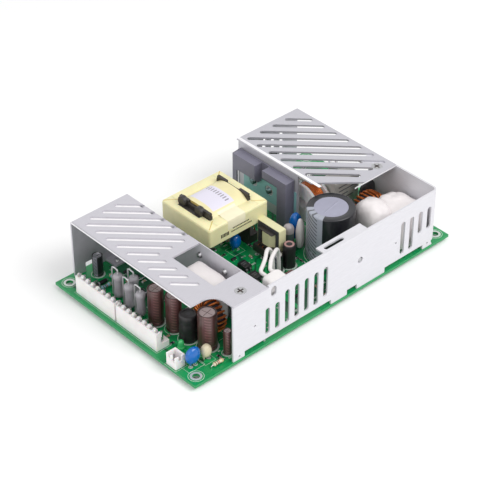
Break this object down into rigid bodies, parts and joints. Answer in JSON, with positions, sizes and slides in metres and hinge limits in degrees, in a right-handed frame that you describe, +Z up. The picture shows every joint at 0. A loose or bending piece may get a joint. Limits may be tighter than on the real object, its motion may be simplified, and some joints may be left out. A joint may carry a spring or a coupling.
{
  "type": "open frame power supply",
  "caption": "Bare circuit board carrying a switched mode power supply, with slotted aluminium heatsinks folded over both ends, a vented side wall and pin headers along its short edges.",
  "frame": {"origin": "centre of the board's corner hole rectangle, on the board's underside", "axes": "+X along the board from the output headers to the mains header, -Y towards the vented long wall, +Z up out of the component side"},
  "size_m": [0.1778, 0.108, 0.038],
  "materials": {
    "board": "green solder mask over glass fibre laminate",
    "sheet_metal": "brushed",
    "heatsink_lining": "matt film",
    "screw_steel": "plated",
    "insulating_cover": "satin moulded",
    "insulating_film": "translucent film",
    "moulded_package": "matt moulded, plated metal tab",
    "header_nylon": "satin moulded",
    "header_pins": "tinned",
    "capacitor_sleeve": "printed sleeve over an aluminium can",
    "bulk_capacitor": "printed sleeve over an aluminium can",
    "load_resistors": "painted body with plated wire",
    "sleeved_choke": "shrunk sleeve",
    "hollow_choke": "shrunk sleeve",
    "indicator_lamp": "translucent",
    "dipped_capacitor": "dipped",
    "blue_coating": "dipped",
    "disc_varistor": "dipped",
    "inrush_thermistor": "matt dipped",
    "red_capacitor": "dipped film",
    "x_capacitor": "moulded box",
    "ferrite": "ground ferrite",
    "transformer_tape": "polyester tape",
    "bobbin_plastic": "moulded",
    "transformer_winding": "taped winding",
    "standby_core": "taped ferrite",
    "standby_winding": "taped winding",
    "copper_wire": "enamelled copper wire",
    "filter_choke_bobbin": "moulded",
    "silicone": "cured silicone",
    "white_sleeve": "sleeved",
    "fuse": "sleeved tube with plated caps",
    "control_chips": "matt moulded",
    "axial_parts": "painted body with plated wire",
    "solder_joints": "bright solder"
  },
  "bodies": {
    "root": {"board": "board", "front_heatsink": "sheet_metal", "rear_heatsink": "sheet_metal", "side_wall": "sheet_metal", "heatsink_lining": "heatsink_lining", "plate_screws": "screw_steel", "board_screws": "screw_steel", "package_screws": "screw_steel", "insulating_cover": "insulating_cover", "insulating_film": "insulating_film", "output_rectifier_1": "moulded_package", "output_rectifier_2": "moulded_package", "power_transistor_1": "moulded_package", "power_transistor_2": "moulded_package", "wall_diode": "moulded_package", "bridge_rectifier": "moulded_package", "output_header_a": "header_nylon", "output_header_b": "header_nylon", "mains_header": "header_nylon", "signal_header": "header_nylon", "header_pins": "header_pins", "output_capacitor_1": "capacitor_sleeve", "output_capacitor_2": "capacitor_sleeve", "output_capacitor_3": "capacitor_sleeve", "left_capacitor": "capacitor_sleeve", "slim_capacitor": "capacitor_sleeve", "standby_capacitor": "capacitor_sleeve", "bulk_capacitor": "bulk_capacitor", "load_resistors": "load_resistors", "sleeved_choke": "sleeved_choke", "hollow_choke": "hollow_choke", "indicator_lamp": "indicator_lamp", "dipped_capacitor": "dipped_capacitor", "front_disc_capacitor": "blue_coating", "bridge_disc_capacitor": "blue_coating", "blue_disc_capacitor": "blue_coating", "disc_varistor": "disc_varistor", "inrush_thermistor": "inrush_thermistor", "red_capacitor": "red_capacitor", "x_capacitor": "x_capacitor", "transformer_core": "ferrite", "transformer_tape": "transformer_tape", "transformer_bobbin": "bobbin_plastic", "transformer_winding": "transformer_winding", "standby_core": "standby_core", "standby_bobbin": "bobbin_plastic", "standby_winding": "standby_winding", "output_choke_core": "ferrite", "boost_choke_core": "ferrite", "output_choke_winding": "copper_wire", "boost_choke_winding": "copper_wire", "filter_choke_winding": "copper_wire", "filter_choke_bobbin": "filter_choke_bobbin", "white_adhesive": "silicone", "thermal_switch": "white_sleeve", "switch_leads": "white_sleeve", "fuse": "fuse", "control_chips": "control_chips", "axial_parts": "axial_parts", "solder_joints": "solder_joints"}
  },
  "joints": []
}
